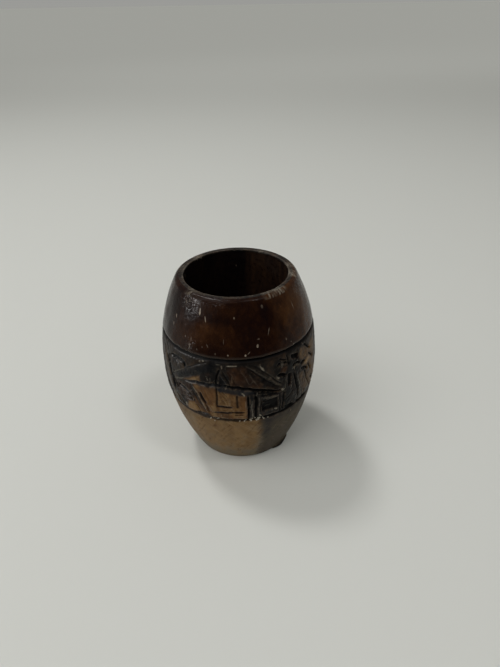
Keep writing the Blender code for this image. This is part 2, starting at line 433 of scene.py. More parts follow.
PALM = {
    "cuts": (
        (1.8, 1.4, 12.6, 37.4, 16, 34, 19.4, 31), (1.9, 1.6, 1.4, 29.3, 4.4, 29.5, 7.4, 28.8),
        (2.1, 1.5, 7.6, 27.2, 10.6, 27.3, 13.6, 26.4), (2, 1.4, 8, 24.4, 11.6, 22.8, 15, 20.4),
        (1.9, 1.3, 15.8, 23.4, 17.8, 20.2, 19.6, 17), (1.6, 1.3, -8.8, 33.4, -6, 34.2, -2.4, 33),
        (2.6, 1.9, -9.8, 26.6, -6.6, 27.1, -3.4, 26.2), (1.4, 1, -6.8, 36.8, -2.8, 34.6),
        (1.4, 1, -1.4, 31.6, -1.6, 35, -2.4, 38), (1.5, 1.2, -4.6, 17.4, -5, 10, -5.4, 2.6),
        (1.8, 1.4, 2.2, 25.6, 3.8, 19, 5.4, 12, 6.2, 6.6), (1.4, 1, 10.4, 22.6, 14.6, 14, 19.4, 5.6),
        (2.6, 1.6, 10.6, 3.6, 12.6, 1.9, 15.8, 1.4), (1.8, 1.2, 16.4, 29, 19.6, 27, 22.4, 24),
        (1.8, 1.2, 20, 13, 21.8, 8, 23, 2),
    ),
    "panels": (
        (1.3, 0.6, 36.6, 7.2, 35, 5.6, 31.4, 1.2, 33.6), (1.1, -2.6, 26, 0.3, 26, 0.1, 18.4, -2.2, 18),
        (1.2, -3.8, 5.6, 2.4, 3.8, 3, 1.4, -3.6, 1.4), (1.4, 4.8, 3.8, 7.6, 3.4, 9.4, 0.6, 5, 0.6),
    ),
    "stains": (
        (-0.12, 0.1, -10, 36, 8, 37, 9, 26, 4, 2, -5, 2, -5, 24, -10, 26),
        (0.3, 0.6, -7.4, 28.4, -2, 27.8, -2, 31.2, -6, 32.4),
        (0.46, -0.3, 7.6, 37, 12.6, 36.4, 13.4, 30, 9.4, 28.8, 7.2, 31),
        (0.36, -0.2, 8, 26, 15, 27.6, 19, 25, 16, 23.6, 10, 24.4),
        (0.36, -0.3, 5.6, 23, 10, 22, 16, 12, 19, 5, 11, 4, 8.6, 10),
        (-0.16, 0.9, 0.6, 36.6, 7.2, 35, 5.6, 31.4, 1.2, 33.6),
        (0.32, -0.1, 13, 33, 26, 36, 28, 2, 20, 2, 15, 12, 12, 22),
        (0.02, 0.9, -2.4, 26, 0.4, 26, 0, 18, -2, 18),
    ),
    "ridges": (
        (0.94, 0.28, 4.8, 23.4, 7.2, 13, 10, 1.6), (0.68, 0.17, -3.3, 26.6, -3.8, 20, -4.6, 14),
        (0.85, 0.33, 0.4, 17.8, -0.2, 15), (0.77, 0.19, 2.4, 12.4, 1.8, 8.8),
        (0.85, 0.28, 4.8, 7.8, 4.2, 5.2), (0.59, 0.66, -9.2, 26.4, -7.8, 25.6),
        (0.68, 0.17, 8.2, 25.8, 12, 25.6, 16, 24.8), (0.68, 0.17, 0.8, 27.6, 4, 28, 7.6, 27.9),
    ),
}


def carve_motif(sheet, motif):
    for kind, carve, settings in (("stains", sheet.stain, 2), ("panels", sheet.recess, 1),
                                  ("cuts", sheet.stroke, 2), ("ridges", sheet.ridge, 2)):
        for row in motif[kind]:
            carve(np.reshape(row[settings:], (-1, 2)), *row[:settings])


def carve_leaf_spray(sheet, base, reach, count, start_turn, end_turn, width):
    """Fan of leaf cuts from one root, between two angles in degrees from the right."""
    for i in range(count):
        turn = math.radians(start_turn + (end_turn - start_turn) * i / (count - 1))
        length = reach * (0.82 + 0.18 * math.cos(2.1 * i))
        way = np.array([math.cos(turn), math.sin(turn)])
        tip = base + length * way
        near = base + 0.22 * length * way
        sheet.leaf(near, tip, width, 1.5, 0.08 * (-1) ** i)
        middle = (near + tip) / 2 + RIDGE_ASIDE * np.array([way[1], -way[0]])
        sheet.ridge([near, middle, tip], 0.8, 0.22)


def carve_bank(sheet, left, right):
    """Low bank of grass: a row of short slanting cuts along the ground."""
    for i, x in enumerate(np.arange(left, right, 2.3)):
        sheet.stroke([(x, 2.2), (x + 0.9 * (-1) ** i, 5.4 + 0.8 * math.cos(1.7 * i))], 1.2, 0.8)


def carve_scene(sheet, shift, flip):
    """Hut with a prop and ferns, between a palm and a broad-leaved tree."""
    sheet.shift, sheet.flip = shift, flip
    for motif in (ROOF, WALLS, FERN, EDGE_LEAF):
        carve_motif(sheet, motif)
    sheet.shift = shift + PALM_X * flip
    carve_motif(sheet, PALM)


def carve_scuffs(sheet):
    """Short shallow slips of the gouge, all over the band."""
    draw = np.random.default_rng(91)
    sheet.shift, sheet.flip = 0.0, 1.0
    for _ in range(SCUFF_COUNT):
        x, y = draw.uniform(-GIRTH / 2, GIRTH / 2), draw.uniform(1, 37)
        turn = draw.normal(1.0, 0.7)
        reach = draw.uniform(0.8, 2.4)
        run, rise = reach * math.cos(turn), reach * math.sin(turn)
        ends = [(x - run, y - rise), (x + run, y + rise)]
        if draw.uniform() < 0.6:
            sheet.stroke(ends, 0.8, draw.uniform(0.2, 0.6))
        else:
            sheet.ridge(ends, 0.6, draw.uniform(0.06, 0.30))


def carve_band(sheet):
    """The whole band: the hut scene in front, its mirror image behind, and leaf sprays between."""
    carve_scene(sheet, 0.0, 1.0)
    carve_scene(sheet, BACK_SCENE_X, -1.0)
    for shift, flip in ((RIGHT_SPRAY_X, 1.0), (LEFT_SPRAY_X, -1.0)):
        sheet.shift, sheet.flip = shift, flip
        carve_leaf_spray(sheet, (0, 4), 18, 7, 24, 156, 3.2)
        carve_leaf_spray(sheet, (1, 22), 14, 5, 42, 138, 3.0)
        sheet.stroke([(-12, 3.0), (0, 4.6), (12, 3.0)], 1.8, 1.3)
        sheet.stain([(-13, 0), (13, 0), (9, 16), (-9, 16)], 0.16, 0.2, 3.0)
        carve_bank(sheet, -12.0, 12.0)
    carve_scuffs(sheet)


def groove_depth(across, z, height, width, depth, wander, seed):
    """V groove round the cup, as uneven as wander says."""
    middle = height + 0.5 * wander * waves(across, 0, seed, 40.0)
    half = 0.5 * width * (1 + wander * 0.8 * waves(across, 0, seed + 1, 7.0))
    deep = depth * (1 + wander * 0.5 * waves(across, 0, seed + 2, 9.0))
    return deep * np.clip(1 - np.abs(z - middle) / np.clip(half, 0.35, None), 0, 1)


def blurred(field, across_cells, up_cells):
    """Gaussian blur that closes round the cup."""
    rows, columns = field.shape
    padded = np.concatenate([field, field[::-1]], 0)
    turn_a = np.fft.fftfreq(columns)[None, :]
    turn_u = np.fft.fftfreq(2 * rows)[:, None]
    soft = np.exp(-2 * (math.pi ** 2) * ((turn_a * across_cells) ** 2 + (turn_u * up_cells) ** 2))
    return np.real(np.fft.ifft2(np.fft.fft2(padded) * soft))[:rows]


# ---- The wall's mesh: rings of points joined into one closed surface
def ease_points(start, end, steps, leave_along_z):
    """Quarter ellipse between two profile points, without its ends."""
    points = []
    for i in range(1, steps):
        turn = 0.5 * math.pi * i / steps
        along, across = math.sin(turn), 1 - math.cos(turn)
        shares = (across, along) if leave_along_z else (along, across)
        points.append(tuple(a + (b - a) * share for a, b, share in zip(start, end, shares)))
    return points


def rounded_edge(start, corner, end, steps):
    """Curve from start to end that is tangent to the two sides of a corner, without its ends."""
    start, corner, end = np.array(start), np.array(corner), np.array(end)
    shares = np.arange(1, steps) / steps
    return [tuple((1 - t) ** 2 * start + 2 * t * (1 - t) * corner + t ** 2 * end) for t in shares]


def even_heights(low, high, step):
    count = max(1, round((high - low) / step))
    return list(low + (high - low) * np.arange(count + 1) / count)


# Patches of tone, LIT_SIDE among them, and, last, of rubbing and of painted glint specks: turn in degrees,
# height, half turn, half height and amount.
# Heights are shares of the cup's height for tone, and millimetres for rubbing.
FOOT_PATCHES = ((8, 0.2, 9, 0.6, -0.05), (-18, 0.12, 22, 0.12, 0.04), (22, 0.28, 5, 0.12, -0.12),
                (50, 0.2, 22, 0.3, 0.05))
BAND_PATCHES = ((-66, 0.5, 20, 0.3, 0.10), (62, 0.55, 14, 0.4, 0.06), (140, 0.55, 40, 0.4, 0.12))
UPPER_PATCHES = ((-24, 0.875, 16, 0.035, 0.25), (-31, 0.815, 13, 0.035, 0.16), (-4, 0.83, 14, 0.05, 0.10),
                 (-10, 0.965, 9, 0.02, 0.14), (-43, 0.82, 9, 0.05, 0.12), (52, 0.93, 12, 0.05, 0.08),
                 (22, 0.93, 8, 0.08, -0.12), (-10, 0.91, 18, 0.02, -0.08), (-58, 0.94, 8, 0.06, -0.16),
                 (-36, 0.92, 8, 0.025, -0.10), (9, 0.87, 7, 0.07, -0.06), (150, 0.86, 30, 0.05, 0.26),
                 (-120, 0.82, 26, 0.06, 0.28))
# where the painted shade under the lower groove eases, on the side the light comes from
LIT_SIDE = ((-15, 0.35, 30, 9, 0.12),)
# the first patch, at the left under the rim, lies where the glint falls, and its pale specks are painted
# highlight
SCUFF_AND_GLINT_PATCHES = ((-42, 106, 5, 2.8, 1.0), (-11, 107.5, 9, 1.6, 0.4), (-34, 85, 5, 4, 0.5),
                 (120, 104, 14, 5, 0.8), (-140, 100, 16, 8, 0.6), (70, 106, 10, 3, 0.5))

# Rubbed places round the rim: turn and half turn in degrees, and amount
RIM_RUBS = ((46, 7, 0.8), (33, 5, 0.5), (84, 7, 0.9), (103, 5, 0.6), (-130, 7, 0.7), (-45, 5, 0.4),
            (-100, 9, 0.3), (150, 8, 0.4))

# Clusters of crumbs along the lower groove: distance round the belly, spread and count
CRUMBS = ((9.0, 8.0, 34), (-15.0, 3.0, 9), (96.0, 8.0, 18), (-88.0, 6.0, 14), (60.0, 20.0, 10))


def tone_outside(across, z):
    """How pale the wood is on the outside, from 0 for black heartwood to 1 for tan sapwood."""
    degrees = degrees_at(across)
    up = z / HEIGHT
    waver = waves(across, z, 31, 26.0)
    fine = waves(across, z, 32, 7.0)

    # foot section: tan to the left of an upright border, greyish black to its right
    border = 17.0 + 3.0 * np.exp(-((z - 12) / 12) ** 2) + waver
    left = smooth_step(-4.5, 3.0, border - degrees + 0.5 * fine)
    right = smooth_step(-4, 4, degrees - 118 - 5 * waver)
    left_end = smooth_step(-8, 8, degrees + 150 + 8 * waver)
    # painted light: the tan side is paler towards the bottom, for the light thrown up by the pale floor
    foot = 0.69 + 0.24 * left * (0.35 + 0.65 * left_end) + 0.02 * right + 0.11 * left * smooth_step(16, 4, z)
    foot = patches(degrees, up, FOOT_PATCHES, foot + 0.02 * fine * left)
    # painted shade: darker just under the lower groove, less so on the lit side, and a little darker at the
    # foot's bottom edge
    foot -= (0.16 - patches(degrees, up, LIT_SIDE)) * smooth_step(33, 39.5, z) + 0.02 * smooth_step(5, 1, z)

    # carved band: dark in the middle of the front, paler and greyer to its sides
    band = patches(degrees, up, BAND_PATCHES, 0.21 + 0.04 * waver + 0.04 * fine)

    # upper section: dark red-brown, with warm flames, a dark diagonal and purple-black clouds
    upper = patches(degrees, up, UPPER_PATCHES, 0.24 + 0.04 * waver + 0.02 * fine)
    beyond = smooth_step(-3.5, 3.5, degrees - 28 - 90 * (0.98 - up))
    upper += 0.27 * beyond * smooth_step(-8, 8, 112 - degrees)

    in_band = (z > LOWER_GROOVE_Z) & (z < UPPER_GROOVE_Z)
    return np.where(in_band, band, np.where(z > BELLY_Z, upper, foot))


def foot_warmth(across, z):
    """The foot's dark side is cool grey, and its tan side fades to grey at the far left."""
    degrees = degrees_at(across)
    cool = smooth_step(12, 22, degrees) * smooth_step(120, 105, degrees)
    faded = smooth_step(-25, -60, degrees) * smooth_step(-175, -120, degrees)
    low = 0.6 * smooth_step(18, 5, z) * (1 - cool)
    return np.where(z < LOWER_GROOVE_Z, -1.15 * cool - 0.38 * faded - low, 0.0)


def black_lump(across, z):
    """Share of a black lump raised on the foot's edge, right of the front."""
    degrees = degrees_at(across)
    top = 2.6 + 2.2 * smooth_step(42, 60, degrees)
    ends = np.clip(1 - np.abs(degrees - 50) / 12.0, 0, 1) ** 0.5
    return ends * np.clip(top - z, 0, 1)


def scuffing_and_glint(across, z):
    """How rubbed the lacquer is, from 0 to 1: patches under the rim, and a trace everywhere. The patch at the
    left under the rim also carries the pale specks of a painted highlight.
    """
    return np.clip(patches(degrees_at(across), z, SCUFF_AND_GLINT_PATCHES, 0.10), 0, 1)


def rim_rubbing(across):
    """How rubbed the rim is, from 0 to above 1."""
    rubbed = np.zeros(across.shape)
    for turn, half, amount in RIM_RUBS:
        away = np.abs(turn_between(degrees_at(across), turn)) / half
        rubbed = np.maximum(rubbed, amount * np.clip(1.4 - away, 0, 1))
    return rubbed


def bore_tone(across):
    """The bore is black on the left of the far side and red-brown on its right."""
    degrees = degrees_at(across)
    brown = 0.22 + 0.05 * waves(across, 0, 75, 9.0)
    return 0.04 + brown * smooth_step(-3, 3, 171 - degrees) * smooth_step(-10, 10, degrees - 95)


def crumb_field(wide, high):
    """Pale splinters and crumbs caught along the lower groove, from 0 to 1."""
    draw = np.random.default_rng(81)
    field = np.zeros(wide.shape)
    for centre, spread, count in CRUMBS:
        for _ in range(count):
            x = centre + draw.normal(0, spread / 2)
            z = LOWER_GROOVE_Z + draw.normal(-0.5, 0.55)
            size = draw.uniform(0.16, 0.42)
            away = (wide - x + GIRTH / 2) % GIRTH - GIRTH / 2
            gap = np.hypot(away * draw.uniform(0.6, 1.0), high - z)
            field = np.maximum(field, np.clip(1.3 - gap / size, 0, 1))
    return field


class Rings:
    """Rings of points round the cup, each joined to the next, and the last to the first.

    One of two neighbours may have twice the other's columns.
    """

    def __init__(self):
        self.points, self.counts = [], []
        self.values = {name: [] for name in ATTRIBUTES}

    def add(self, radius, z, count, **values):
        turn = (np.arange(count) / count - 0.5) * TAU
        each = np.ones(count)
        self.points.append(np.column_stack([radius * np.sin(turn), -radius * np.cos(turn), z * each]))
        self.counts.append(count)
        for name in ATTRIBUTES:
            self.values[name].append(values.get(name, 0.0) * each)

    def faces(self):
        starts = np.cumsum([0] + self.counts)
        faces = []
        for low, a in enumerate(self.counts):
            high = (low + 1) % len(self.counts)
            b = self.counts[high]
            i = np.arange(min(a, b))
            j = (i + 1) % len(i)
            k, m, n = 2 * i, 2 * i + 1, (2 * i + 2) % max(a, b)
            sa, sb = starts[low], starts[high]
            if a == b:
                corners = (sa + i, sa + j, sb + j, sb + i)
            elif a < b:
                corners = (sa + i, sb + m, sb + k, sa + i, sa + j, sb + m, sa + j, sb + n, sb + m)
            else:
                corners = (sa + k, sa + m, sb + i, sa + m, sb + j, sb + i, sa + m, sa + n, sb + j)
            faces += np.column_stack(corners).reshape(-1, 4 if a == b else 3).tolist()
        return faces


def add_foot(rings):
    """The foot's eased edge and the plain wood above it, up to just below the carved part."""
    across = columns_across(PLAIN_COLUMNS)
    flat = (FOOT_RADIUS - FOOT_SET_IN - FOOT_EASE, 0.0)
    side = (float(outer_radius(FOOT_EASE)) - FOOT_SET_IN, FOOT_EASE)
    rows = [(radius, z, EDGE_WEAR) for radius, z in [flat] + ease_points(flat, side, 5, False)]
    heights = even_heights(FOOT_EASE, FOOT_ROWS_END_Z, FOOT_ROW)
    heights += even_heights(FOOT_ROWS_END_Z, BAND_START_Z, PLAIN_ROW)[1:]
    for z in heights:
        rows.append((outer_radius(z) - FOOT_SET_IN + DENT * waves(across, z, 41, 12.0), z, 0.0))
    for radius, z, wear in rows:
        black = black_lump(across, z)
        rings.add(radius + BLACK_LUMP_RISE * black, z, PLAIN_COLUMNS, tone=tone_outside(across, z),
                  cut=BLACK_CUT * black, gloss=FOOT_GLOSS, wear=wear, warm=foot_warmth(across, z))


def add_band(rings):
    """The carved band, its two grooves, and a little of the wood beyond them."""
    heights = np.array(even_heights(BAND_START_Z, BAND_END_Z, FINE_ROW)[1:])
    sheet = Carving(FINE_COLUMNS, heights)
    carve_band(sheet)
    wide, high = np.meshgrid(sheet.across, heights)
    keep = smooth_step(LOWER_GROOVE_Z - 0.1, LOWER_GROOVE_Z + 0.7, high)
    keep *= 1 - smooth_step(UPPER_GROOVE_Z - 0.9, UPPER_GROOVE_Z - 0.1, high)
    above = high > UPPER_GROOVE_Z
    # painted highlight: a thin pale line along the upper groove's top lip, where the lip catches the light
    lit_lip = UPPER_GROOVE_Z + UPPER_GROOVE_WIDTH / 2 + 0.1
    pale = np.maximum(sheet.pale * keep, 0.09 * np.clip(1 - np.abs(high - lit_lip) / 0.5, 0, 1))
    depth = sheet.depth * keep * (1 - 0.85 * np.clip(1.6 * pale, 0, 1))
    for groove in ((UPPER_GROOVE_Z, UPPER_GROOVE_WIDTH, UPPER_GROOVE_DEPTH, 0.08, 51),
                   (LOWER_GROOVE_Z, LOWER_GROOVE_WIDTH, LOWER_GROOVE_DEPTH, 0.17, 61)):
        depth = np.maximum(depth, groove_depth(wide, high, *groove))
    depth = 0.85 * depth + 0.15 * blurred(depth, 0.7, 0.7)
    crumbs = crumb_field(wide, high)
    set_in = FOOT_SET_IN * smooth_step(LOWER_GROOVE_Z, LOWER_GROOVE_Z - 0.6, high)
    surface = DENT * waves(wide, high, 41, 12.0) - 0.09 * np.abs(sheet.hand) * keep
    radius = outer_radius(high) - set_in - depth + surface + CRUMB_RISE * crumbs
    wear = np.clip((blurred(depth, 1.6, 1.6) - depth) * 2.2, 0, 1)
    wear *= 1 - smooth_step(UPPER_GROOVE_Z - 2.8, UPPER_GROOVE_Z - 1.8, high)
    fields = {
        "tone": tone_outside(wide, high) + sheet.tint * keep,
        "cut": np.clip(depth, 0, BLACK_CUT) * (1 - crumbs),
        "gloss": np.where(above, 1.0, np.where(high > LOWER_GROOVE_Z, BAND_GLOSS, FOOT_GLOSS)),
        "wear": wear,
        "crumb": crumbs,
        "pale": pale,
        "warm": sheet.warm * keep + foot_warmth(wide, high),
        "scuff": np.where(above, scuffing_and_glint(wide, high), 0.0),
    }
    for i, z in enumerate(heights):
        rings.add(radius[i], z, FINE_COLUMNS, **{name: field[i] for name, field in fields.items()})


def add_top(rings):
    """The lacquered wood above the band, the rim's rounded outer edge, and its flat top."""
    across = columns_across(PLAIN_COLUMNS)
    rubbed = rim_rubbing(across)
    side_radius = float(outer_radius(LIP_START_Z))
    corner = (2 * side_radius - float(outer_radius(LIP_START_Z - LIP_OUTER_EASE)), HEIGHT)
    outer = (MOUTH_RADIUS - LIP_OUTER_EASE, HEIGHT)
    inner = (BORE_RADIUS + LIP_INNER_EASE, HEIGHT)
    bore_top = (BORE_RADIUS, HEIGHT - LIP_INNER_EASE)

    for z in even_heights(BAND_END_Z, LIP_START_Z, PLAIN_ROW)[1:]:
        rings.add(outer_radius(z) + TOP_DENT * waves(across, z, 41, 12.0), z, PLAIN_COLUMNS,
                  tone=tone_outside(across, z), gloss=1.0, scuff=scuffing_and_glint(across, z))
    for radius, z in rounded_edge((side_radius, LIP_START_Z), corner, outer, 8):
        patchy = 0.5 + 0.5 * waves(across, z, 74, 3.0)
        rings.add(radius, z, PLAIN_COLUMNS, tone=tone_outside(across, z), gloss=1.0,
                  scuff=scuffing_and_glint(across, z), pale=0.5 * np.clip(rubbed, 0, 1) * patchy)
    lip = [outer] + [(outer[0] + (inner[0] - outer[0]) * t, HEIGHT) for t in (0.25, 0.5, 0.75)]
    lip += [inner] + ease_points(inner, bore_top, 4, False) + [bore_top]
    top_tone = 0.34 + 0.05 * waves(across, 0, 73, 20.0)
    for i, (radius, z) in enumerate(lip):
        nicks = 0.05 * waves(across, i, 71, 5.0)
        worn = rubbed * (0.55 + 0.45 * waves(across, 3.0 * i, 74, 4.0))
        edge = 0.14 if abs(radius - inner[0]) < 0.2 else 0.0
        rings.add(radius + 0.5 * nicks, z - 0.04 + nicks - 0.25 * np.clip(worn, 0, 1), PLAIN_COLUMNS,
                  tone=top_tone, gloss=0.45, wear=EDGE_WEAR, scuff=0.6, warm=-0.35,
                  pale=np.clip(0.55 * worn + edge, 0, 1))


def add_bore(rings):
    """The bore, its rounded shoulder, and the rebate for the base."""
    profile = [(BORE_RADIUS, z) for z in (HEIGHT - 1.5, HEIGHT - 4, HEIGHT - 12, 80, 60, 40, 25, BORE_END_Z)]
    profile += ease_points(profile[-1], (SHOULDER_RADIUS, SHOULDER_Z), 7, True)
    profile += [(SHOULDER_RADIUS, SHOULDER_Z), (SHOULDER_RADIUS, REBATE_DEPTH)]
    profile += [(REBATE_RADIUS, REBATE_DEPTH), (REBATE_RADIUS, REBATE_CHAMFER)]
    profile += [(REBATE_RADIUS + REBATE_CHAMFER, 0.0)]
    tone = bore_tone(columns_across(BORE_COLUMNS))
    for radius, z in profile:
        rings.add(radius, z, BORE_COLUMNS, tone=tone, gloss=0.75)


def add_mesh(name, points, faces):
    mesh = bpy.data.meshes.new(name)
    mesh.from_pydata(points, [], faces)
    mesh.update()
    thing = bpy.data.objects.new(name, mesh)
    bpy.context.scene.collection.objects.link(thing)
    return thing


def build_wall():
    """Rings up the outside, over the lip, down the bore, round the shoulder and out under the foot."""
    rings = Rings()
    for add in (add_foot, add_band, add_top, add_bore):
        add(rings)
    wall = add_mesh("barrel_wall", (np.vstack(rings.points) * MM).tolist(), rings.faces())
    for name, values in rings.values.items():
        layer = wall.data.attributes.new(name, "FLOAT", "POINT")
        layer.data.foreach_set("value", np.concatenate(values).astype(np.float32))
    wall.data.shade_smooth()
    wall.data.set_sharp_from_angle(angle=math.radians(60))
    return wall


# ---- Materials
class Shader:
    """Short way to write a Principled material's nodes."""

    def __init__(self, name):
        self.material = bpy.data.materials.new(name)
        self.material.use_nodes = True
        self.tree = self.material.node_tree
        self.surface = self.tree.nodes["Principled BSDF"]

    def put(self, socket, value):
        if isinstance(value, bpy.types.NodeSocket):
            self.tree.links.new(value, socket)
        else:
            socket.default_value = value

    def set(self, name, value):
        self.put(self.surface.inputs[name], value)

    def node(self, kind, **settings):
        made = self.tree.nodes.new(kind)
        for key, value in settings.items():
            setattr(made, key, value)
        return made

    def math(self, operation, a, b, clamp=False):
        made = self.node("ShaderNodeMath", operation=operation, use_clamp=clamp)
        self.put(made.inputs[0], a)
        self.put(made.inputs[1], b)
        return made.outputs[0]

    def times(self, a, b, clamp=False):
        return self.math("MULTIPLY", a, b, clamp)

    def plus(self, a, b, clamp=False):
        return self.math("ADD", a, b, clamp)

    def minus(self, a, b, clamp=False):
        return self.math("SUBTRACT", a, b, clamp)

    def larger(self, a, b):
        return self.math("MAXIMUM", a, b)

    def swing(self, field, weight):
        """A noise's swing to both sides of its middle."""
        return self.times(self.minus(field, 0.5), weight)

    def attribute(self, name):
        return self.node("ShaderNodeAttribute", attribute_name=name).outputs["Fac"]

    def place(self):
        return self.node("ShaderNodeTexCoord").outputs["Object"]

    def stretched(self, vector, scale):
        made = self.node("ShaderNodeMapping")
        self.put(made.inputs["Vector"], vector)
        self.put(made.inputs["Scale"], scale)
        return made.outputs[0]

    def twisted(self, vector, turns):
        """Vector turned about Z in step with its height, so that upright streaks lean."""
        split = self.node("ShaderNodeSeparateXYZ")
        self.put(split.inputs[0], vector)
        made = self.node("ShaderNodeVectorRotate", rotation_type="Z_AXIS")
        self.put(made.inputs["Vector"], vector)
        self.put(made.inputs["Angle"], self.times(split.outputs["Z"], turns))
        return made.outputs[0]

    def noise(self, vector, scale, detail=3.0, roughness=0.5, distortion=0.0):
        made = self.node("ShaderNodeTexNoise")
        self.put(made.inputs["Vector"], vector)
        self.put(made.inputs["Scale"], scale)
        self.put(made.inputs["Detail"], detail)
        self.put(made.inputs["Roughness"], roughness)
        self.put(made.inputs["Distortion"], distortion)
        return made.outputs["Fac"]

    def span(self, value, low, high, to_low=0.0, to_high=1.0):
        made = self.node("ShaderNodeMapRange", interpolation_type="SMOOTHSTEP")
        for key, item in (("Value", value), ("From Min", low), ("From Max", high), ("To Min", to_low),
                          ("To Max", to_high)):
            self.put(made.inputs[key], item)
        return made.outputs[0]

    def mix(self, share, a, b, blend="MIX"):
        made = self.node("ShaderNodeMix", data_type="RGBA", blend_type=blend)
        self.put(made.inputs["Factor"], share)
        for socket, value in ((made.inputs[6], a), (made.inputs[7], b)):
            self.put(socket, (*value, 1.0) if isinstance(value, tuple) else value)
        return made.outputs[2]

    def ramp(self, value, stops):
        made = self.node("ShaderNodeValToRGB")
        line = made.color_ramp
        while len(line.elements) < len(stops):
            line.elements.new(0.5)
        for element, (place, colour) in zip(line.elements, stops):
            element.position = place
            element.color = (*colour, 1.0)
        self.put(made.inputs[0], value)
        return made.outputs[0]

    def bump(self, height, distance, strength=1.0, normal=None):
        made = self.node("ShaderNodeBump")
        self.put(made.inputs["Height"], height)
        self.put(made.inputs["Distance"], distance)
        self.put(made.inputs["Strength"], strength)
        if normal is not None:
            self.put(made.inputs["Normal"], normal)
        return made.outputs[0]


LACQUERED = ((0.0, (0.0055, 0.0030, 0.0034)), (0.2, (0.0125, 0.0045, 0.0026)), (0.4, (0.026, 0.0092, 0.0034)),
             (0.6, (0.052, 0.020, 0.0060)), (0.8, (0.082, 0.035, 0.010)), (1.0, (0.124, 0.057, 0.018)))
DRY = ((0.0, (0.003, 0.0027, 0.0026)), (0.15, (0.008, 0.0062, 0.0050)), (0.3, (0.018, 0.0125, 0.0088)),
       (0.5, (0.050, 0.0285, 0.0150)), (0.75, (0.122, 0.066, 0.026)), (1.0, (0.240, 0.148, 0.066)))
GLUE = ((0.3, (0.10, 0.05, 0.015)), (0.7, (0.26, 0.15, 0.05)))

# Pale nicks and scratches: turn in degrees, height, half length, half width, lean, strength.
NICKS = ((-28.5, 103.4, 2.1, 0.5, 0.05, 0.95), (-23, 100.6, 1.9, 0.32, 0.25, 0.7),
         (-52.5, 96.8, 1.3, 0.45, 0.35, 0.7), (16, 88, 1.1, 0.62, -0.2, 0.95),
         (17, 91.4, 0.5, 0.8, 0, 0.28), (25.5, 94, 2.4, 0.26, -0.35, 0.42),
         (23.5, 106, 1.1, 0.7, 0, 0.25), (0, 102.3, 0.7, 0.5, 0, 0.32), (7, 83.9, 0.7, 0.6, 0, 0.8),
         (9.5, 85, 1.2, 0.3, -0.8, 0.35), (-5, 84.2, 0.6, 0.5, 0, 0.65),
         (-34.5, 85.6, 2, 0.34, 0.1, 0.42), (-33.5, 89.4, 1.3, 0.26, 0, 0.3),
         (-20, 88, 1.3, 0.34, 0.5, 0.3), (-8, 91, 1.7, 0.22, 0, 0.22), (-39, 89.5, 0.8, 0.4, 0, 0.3),
         (53.5, 100.8, 3, 0.34, 0.05, 0.3), (43, 84.6, 0.6, 0.45, 0, 0.3), (-14, 84.4, 0.7, 0.4, 0, 0.25),
         (92, 94, 1.6, 0.4, 0.2, 0.5), (108, 99, 1.2, 0.5, -0.3, 0.6), (130, 92, 1.9, 0.4, 0.1, 0.7),
         (155, 88, 1.4, 0.4, 0.4, 0.6), (176, 98, 1.2, 0.5, 0, 0.6), (-150, 95, 2, 0.4, -0.2, 0.6),
         (-118, 90, 1.5, 0.5, 0.2, 0.75), (-85, 98, 1.7, 0.4, 0, 0.5), (29, 30, 3.4, 0.3, -0.5, 0.16),
         (33, 26, 2.6, 0.26, -0.5, 0.12), (43, 38.2, 1, 0.45, -0.2, 0.45))


def nick_mask(s, here):
    """Strength of the listed nicks, from 0 to 1."""
    total = 0.0
    for turn, z, half_length, half_width, lean, strength in NICKS:
        angle = math.radians(turn)
        radius = float(outer_radius(z))
        spot = (radius * math.sin(angle) * MM, -radius * math.cos(angle) * MM, z * MM)
        made = s.node("ShaderNodeMapping", vector_type="TEXTURE")
        s.put(made.inputs["Vector"], here)
        s.put(made.inputs["Location"], spot)
        s.put(made.inputs["Rotation"], (0.0, -lean, angle))
        s.put(made.inputs["Scale"], (half_width * MM, 3 * MM, half_length * MM))
        away = s.node("ShaderNodeVectorMath", operation="LENGTH")
        s.put(away.inputs[0], made.outputs[0])
        total = s.larger(total, s.span(away.outputs["Value"], 0.5, 1.0, strength, 0.0))
    return total


